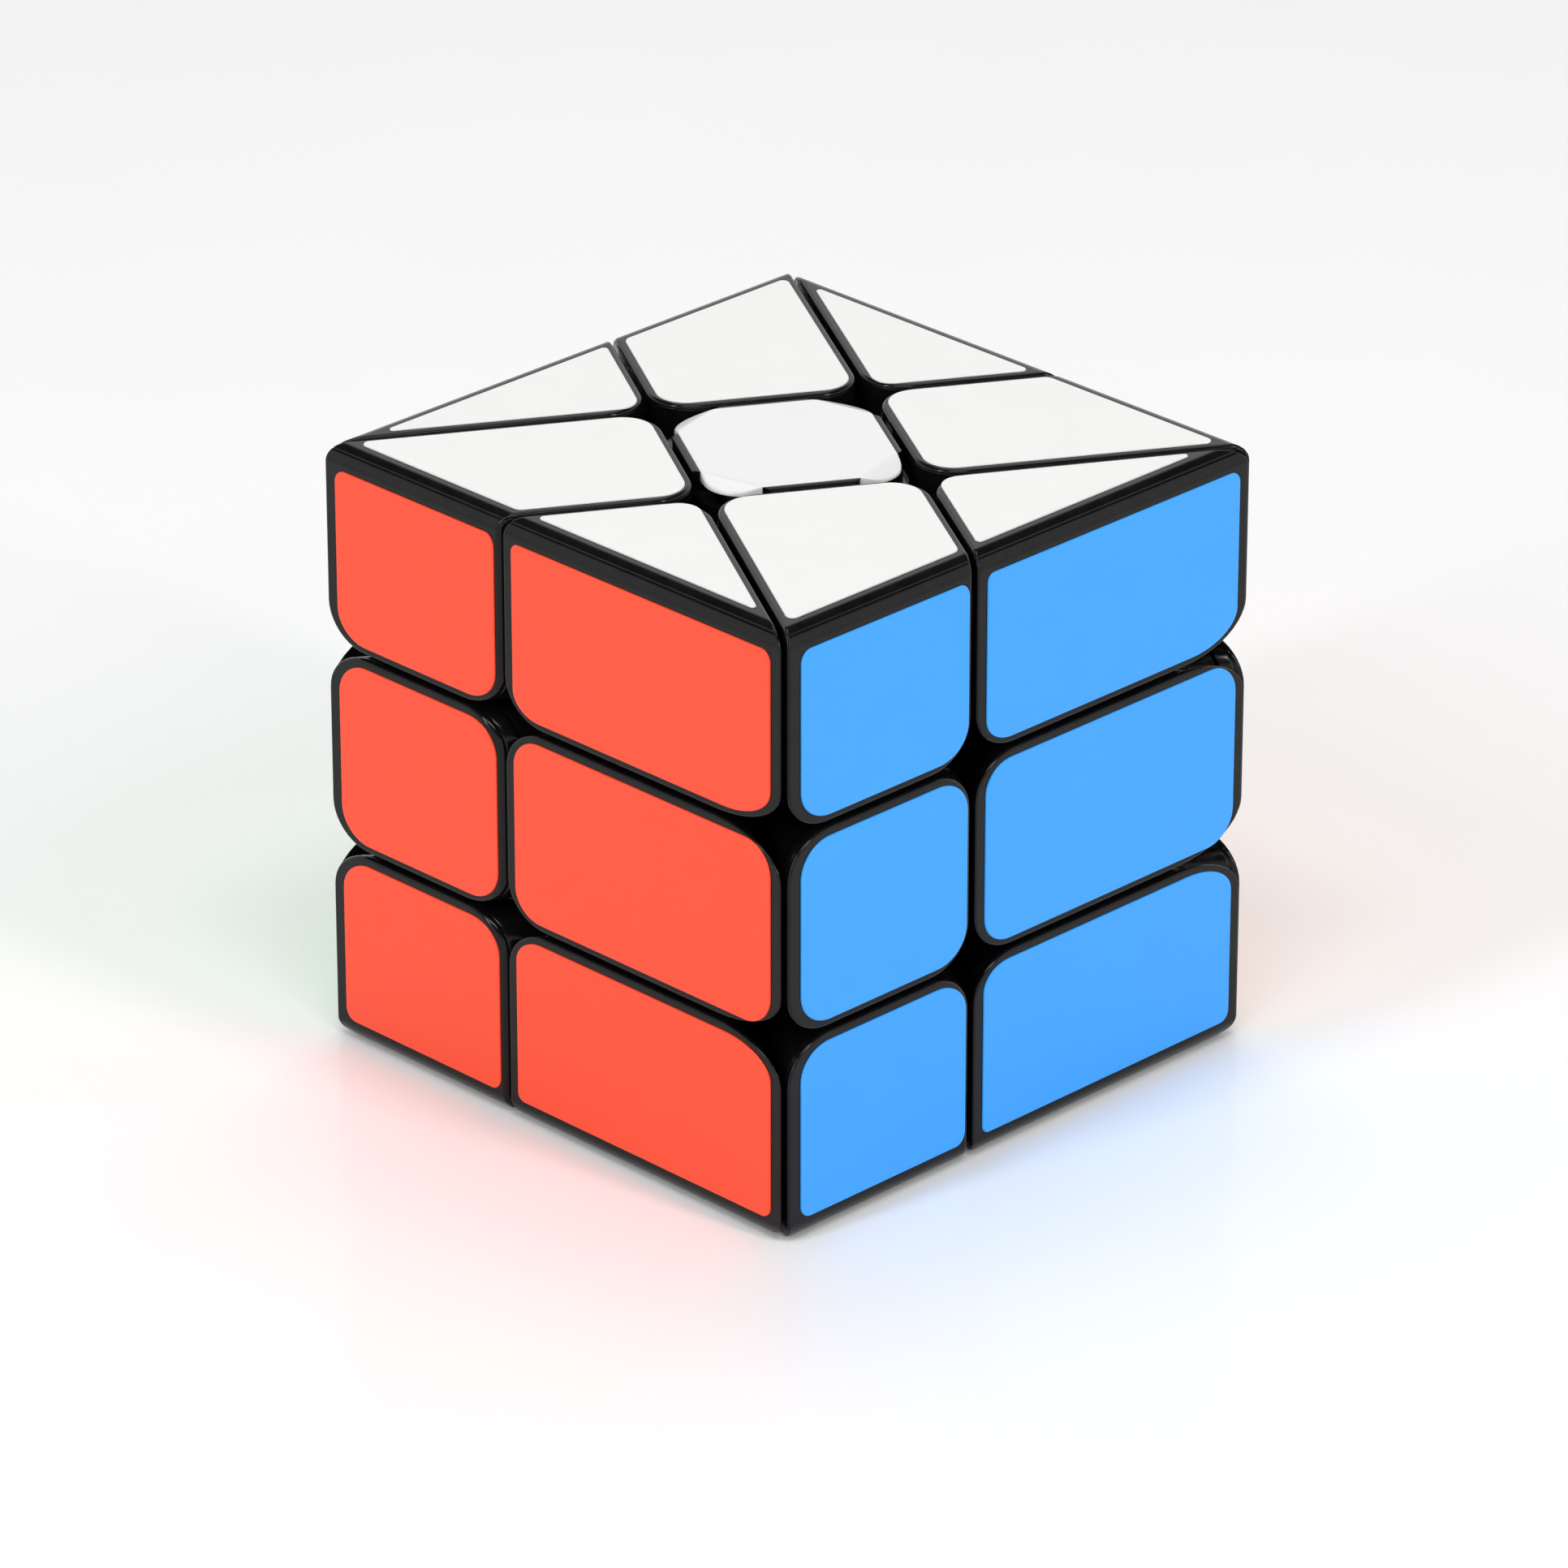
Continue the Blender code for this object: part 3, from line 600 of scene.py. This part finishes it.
def spread(tree, source, low, high):
    """Noise mapped to a range of numbers."""
    span = node(tree, "ShaderNodeMapRange")
    span.inputs["From Min"].default_value = NOISE_RANGE[0]
    span.inputs["From Max"].default_value = NOISE_RANGE[1]
    span.inputs["To Min"].default_value = low
    span.inputs["To Max"].default_value = high
    tree.links.new(source.outputs["Fac"], span.inputs["Value"])
    return span


def blotches(tree, source, first, second):
    """Noise mapped to a range between two colours."""
    mix = node(tree, "ShaderNodeMix", data_type="RGBA")
    span = spread(tree, source, 0.0, 1.0)
    tree.links.new(span.outputs["Result"], mix.inputs[0])
    colours = [socket for socket in mix.inputs if socket.type == "RGBA"]
    for socket, colour in zip(colours, (first, second)):
        socket.default_value = (*colour, 1.0)
    return mix


def colour_out(mix):
    return next(socket for socket in mix.outputs if socket.type == "RGBA")


def material(name, first, second, colour_grain, rough, rough_grain, bumps, specular=0.5,
             metallic=0.0):
    """A surface with mottled colour, uneven gloss and layers of fine relief.

    Grains and heights are in millimetres. Bumps are (grain, strength, height).
    """
    made = bpy.data.materials.new(name)
    made.use_nodes = True
    tree = made.node_tree
    shader = tree.nodes["Principled BSDF"]
    shader.inputs["Metallic"].default_value = metallic
    shader.inputs["Specular IOR Level"].default_value = specular
    mix = blotches(tree, noise(tree, colour_grain), first, second)
    tree.links.new(colour_out(mix), shader.inputs["Base Color"])
    gloss = spread(tree, noise(tree, rough_grain, 3.0), *rough)
    tree.links.new(gloss.outputs["Result"], shader.inputs["Roughness"])
    normal = None
    for grain, strength, height_mm in bumps:
        bump = node(tree, "ShaderNodeBump", Strength=strength, Distance=height_mm * MM)
        tree.links.new(noise(tree, grain).outputs["Fac"], bump.inputs["Height"])
        if normal is not None:
            tree.links.new(normal, bump.inputs["Normal"])
        normal = bump.outputs["Normal"]
    if normal is not None:
        tree.links.new(normal, shader.inputs["Normal"])
    return made


def sticker_material(name, colour):
    """Printed vinyl: an even colour, a little orange peel, a smooth satin face."""
    darker = tuple(value * STICKER_MOTTLE for value in colour)
    return material(name, darker, colour, 5.0, (0.30, 0.34), 1.5,
                    ((1.6, 0.03, 0.01), (0.25, 0.04, 0.004)), specular=0.4)


STICKER_COLOURS = {
    "white": (0.80, 0.80, 0.785),
    "red": (0.93, 0.068, 0.020),
    "blue": (0.036, 0.36, 0.95),
    "orange": (0.93, 0.27, 0.015),
    "green": (0.035, 0.56, 0.085),
    "yellow": (0.95, 0.72, 0.02),
}

LOOKS = {
    "body": material("black_plastic", (0.0035, 0.0032, 0.0035), (0.006, 0.0055, 0.006), 2.0,
                     (0.10, 0.16), 0.6, ((0.16, 0.20, 0.004), (1.2, 0.06, 0.008)), specular=0.21),
    # The inside look is the pieces' black plastic with its colour darkened as painted shade, so that
    # the gaps and holes between the pieces look deep and dark.
    "inside": material("black_plastic_inside", (0.0015, 0.0015, 0.0015), (0.003, 0.003, 0.003),
                       2.0, (0.40, 0.55), 0.6, ((0.20, 0.30, 0.008),), specular=0.25),
    "core": material("core_nylon", (0.022, 0.022, 0.024), (0.032, 0.032, 0.034), 1.5,
                     (0.45, 0.6), 0.5, ((0.3, 0.3, 0.01),)),
    "white_cap": material("white_cap_plastic", (0.76, 0.76, 0.755), (0.77, 0.77, 0.765), 4.0,
                          (0.18, 0.22), 2.0, ((2.5, 0.04, 0.01),), specular=0.5),
    "yellow_cap": material("yellow_cap_plastic", (0.88, 0.66, 0.015), (0.93, 0.72, 0.02), 4.0,
                           (0.18, 0.24), 2.0, ((2.5, 0.10, 0.02),), specular=0.5),
    "screw": material("zinc_plated_steel", (0.50, 0.50, 0.52), (0.60, 0.60, 0.61), 0.8,
                      (0.22, 0.36), 0.3, ((0.12, 0.2, 0.004),), metallic=1.0),
    "spring": material("drawn_spring_wire", (0.36, 0.36, 0.38), (0.46, 0.46, 0.48), 0.5,
                       (0.2, 0.34), 0.2, ((0.08, 0.2, 0.003),), metallic=1.0),
}
for colour_name, colour_value in STICKER_COLOURS.items():
    LOOKS[colour_name] = sticker_material(f"sticker_vinyl_{colour_name}", colour_value)


# ---- pieces -----------------------------------------------------------------------------------
SIDE_COLOURS = {"front": "red", "right": "blue", "back": "orange", "left": "green"}
CAPS = {                  # look and material slot
    "top": ("white_cap", "cap_plastic"),
    "bottom": ("yellow_cap", "cap_plastic_yellow"),
}


def add_piece(name, mesh, look, body, quarter=0, stands_for=()):
    """Adds a piece that rides on a body, turned by quarters about the upright axis."""
    item = bpy.data.objects.new(name, mesh)
    bpy.context.scene.collection.objects.link(item)
    if not mesh.materials:
        mesh.materials.append(LOOKS[look])
    elif mesh.materials[0] is not LOOKS[look]:
        item.material_slots[0].link = "OBJECT"
        item.material_slots[0].material = LOOKS[look]
    item.matrix_world = (Matrix.Translation(CENTRE)
                         @ Matrix.Rotation(quarter * math.pi / 2, 4, "Z"))
    flat = item.modifiers.new("flat_faces", "WEIGHTED_NORMAL")
    flat.keep_sharp = True
    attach(item, body)
    if stands_for:
        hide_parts(*stands_for)
    return item


def add_layer(prefix, meshes, stickers, face_colour):
    body = f"{prefix}_layer"
    cap_look, cap_slot = CAPS[prefix]
    add_piece(f"{prefix}_centre_body", meshes["centre"], "body", body,
              stands_for=[f"{prefix}_centre"])
    add_piece(f"{prefix}_centre_cap", meshes["cap"], cap_look, body,
              stands_for=[f"{prefix}_cap"])
    for quarter, side in enumerate(SIDES):
        start = f"{prefix}_{side}"
        add_piece(f"{start}_edge_body", meshes["edge"], "body", body, quarter,
                  [f"{start}_edge"])
        add_piece(f"{start}_corner_body", meshes["shell"], "body", body, quarter,
                  [f"{start}_corner_shell"])
        add_piece(f"{start}_edge_{face_colour}_sticker", stickers["top_quad"], face_colour, body,
                  quarter)
        add_piece(f"{start}_corner_{face_colour}_sticker", stickers["top_triangle"], face_colour,
                  body, quarter)
        colour = SIDE_COLOURS[side]
        add_piece(f"{start}_edge_{colour}_sticker", stickers["narrow"], colour, body,
                  quarter)
        add_piece(f"{start}_corner_{colour}_sticker", stickers["wide"], colour, body,
                  quarter)


def add_middle(meshes, stickers):
    body = "core_and_middle_layer"
    for quarter, side in enumerate(SIDES):
        add_piece(f"{side}_centre_body", meshes["side_centre"], "body", body,
                  quarter, [f"{side}_centre"])
        add_piece(f"{side}_centre_cover", meshes["cover"], "body", body,
                  quarter, [f"{side}_cover"])
        add_piece(f"middle_{side}_edge_body", meshes["middle_edge"], "body", body,
                  quarter, [f"middle_{side}_edge"])
        colour = SIDE_COLOURS[side]
        add_piece(f"{side}_centre_{colour}_sticker", stickers["narrow_middle"], colour, body,
                  quarter)
        add_piece(f"middle_{side}_edge_{colour}_sticker", stickers["wide_middle"], colour, body,
                  quarter)


top = {
    "centre": centre_mesh("top_centre_body", UP, 0.0),
    "cap": cap_mesh("top_centre_cap"),
    "edge": edge_mesh("top_edge_body", RIGHT, FRONT, UP, True),
    "shell": shell_mesh("top_corner_body"),
}
bottom = {kind: mirrored(mesh, mesh.name.replace("top", "bottom")) for kind, mesh in top.items()}
middle_layer = {
    "side_centre": centre_mesh("side_centre_body", FRONT, COVER_THICKNESS + FIT_GAP),
    "cover": cover_mesh("side_centre_cover"),
    "middle_edge": edge_mesh("middle_edge_body", UP, RIGHT, FRONT, False),
}
clear_scraps()
stickers = sticker_meshes()
bottom_stickers = {kind: mirrored(mesh, mesh.name.replace("sticker", "bottom_sticker"))
                   for kind, mesh in stickers.items()}
add_layer("top", top, stickers, "white")
add_layer("bottom", bottom, bottom_stickers, "yellow")
add_middle(middle_layer, stickers)

# ---- the CAD nodes that stay in view inside -----------------------------------------------------
# Apart from the screws, springs and core, the inner nodes get the inside look: the black plastic
# darkened as painted shade for the gaps and holes.
for name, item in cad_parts.items():
    kind = name.split("_")[-1]
    look = kind if kind in ("screw", "spring", "core") else "inside"
    item.data.materials.clear()
    item.data.materials.append(LOOKS[look])

# ---- floor, light and camera ----------------------------------------------------------------------
FLOOR_REACH = 6.0         # metres, from the middle to each side
LIGHT_DISTANCE = 0.9      # metres
SOFTBOXES = (             # name, azimuth, elevation, width and height in metres, strength
    ("key_softbox", 45.0, 66.0, (0.50, 0.16), 10.0),
    ("left_softbox", -5.0, 38.0, (0.09, 0.45), 13.9),
    ("right_softbox", 95.0, 38.0, (0.09, 0.45), 13.9),
    ("back_softbox", 225.0, 68.0, (0.50, 0.40), 2.6),
)
# (height, level) of the world's light. Height is 0 at the horizon and below, and 1 overhead.
HORIZON_GLOW = ((0.0, 1.15), (0.50, 1.15), (0.62, 0.05), (1.0, 0.05))
AZIMUTH, ELEVATION = 45.23, 25.47           # of the camera, in degrees
DISTANCE = 818.0                            # from the cube's centre to the camera, in millimetres
OFFSET_RIGHT, OFFSET_UP = -0.30, -3.73      # of the middle of the view from the cube's centre
LENS, SENSOR = 214.06, 36.0
CLIP_START, CLIP_END = 0.05, 50.0           # metres

floor_mesh = bpy.data.meshes.new("floor")
floor_shape = bmesh.new()
bmesh.ops.create_grid(floor_shape, x_segments=1, y_segments=1, size=FLOOR_REACH)
floor_shape.to_mesh(floor_mesh)
floor_shape.free()
floor = bpy.data.objects.new("floor", floor_mesh)
floor.location = (0.0, 0.0, CAD_LOW.z - STICKER_RISE * MM)
bpy.context.scene.collection.objects.link(floor)
floor_look = material("white_floor", (0.95, 0.95, 0.95), (0.96, 0.96, 0.96), 40.0,
                      (0.11, 0.13), 30.0, (), specular=0.065)
floor_mesh.materials.append(floor_look)


def toward(azimuth, elevation):
    """A direction out from the cube, in degrees. Azimuth 0 is the red side and 90 the blue."""
    a, e = math.radians(azimuth), math.radians(elevation)
    return Vector((math.sin(a) * math.cos(e), -math.cos(a) * math.cos(e), math.sin(e)))


def softbox(name, azimuth, elevation, size, strength):
    """A rectangular light that faces the cube."""
    light = bpy.data.lights.new(name, "AREA")
    light.shape = "RECTANGLE"
    light.size, light.size_y = size
    light.energy = strength * math.pi * size[0] * size[1]
    item = bpy.data.objects.new(name, light)
    back = toward(azimuth, elevation)
    item.location = CENTRE + back * LIGHT_DISTANCE
    item.rotation_mode = "QUATERNION"
    item.rotation_quaternion = (-back).to_track_quat("-Z", "Y")
    bpy.context.scene.collection.objects.link(item)


for settings in SOFTBOXES:
    softbox(*settings)

world = bpy.data.worlds.new("studio")
bpy.context.scene.world = world
world.use_nodes = True
tree = world.node_tree
background = tree.nodes["Background"]
place = node(tree, "ShaderNodeTexCoord")
split = node(tree, "ShaderNodeSeparateXYZ")
tree.links.new(place.outputs["Generated"], split.inputs["Vector"])
ramp = node(tree, "ShaderNodeValToRGB")
while len(ramp.color_ramp.elements) < len(HORIZON_GLOW):
    ramp.color_ramp.elements.new(0.5)
for element, (position, level) in zip(ramp.color_ramp.elements, HORIZON_GLOW):
    element.position = position
    element.color = (level, level, level, 1.0)
tree.links.new(split.outputs["Z"], ramp.inputs["Fac"])
tree.links.new(ramp.outputs["Color"], background.inputs["Color"])
background.inputs["Strength"].default_value = 1.0

back = toward(AZIMUTH, ELEVATION)
right = UP.cross(back).normalized()
up = back.cross(right)
camera_data = bpy.data.cameras.new("camera")
camera_data.lens = LENS
camera_data.sensor_width = SENSOR
camera_data.clip_start, camera_data.clip_end = CLIP_START, CLIP_END
camera = bpy.data.objects.new("camera", camera_data)
camera.location = CENTRE + (right * OFFSET_RIGHT + up * OFFSET_UP + back * DISTANCE) * MM
camera.rotation_mode = "QUATERNION"
camera.rotation_quaternion = Matrix((right, up, back)).transposed().to_quaternion()
bpy.context.scene.collection.objects.link(camera)
bpy.context.scene.camera = camera

bpy.context.scene.view_settings.view_transform = "Standard"
bpy.context.scene.view_settings.look = "None"
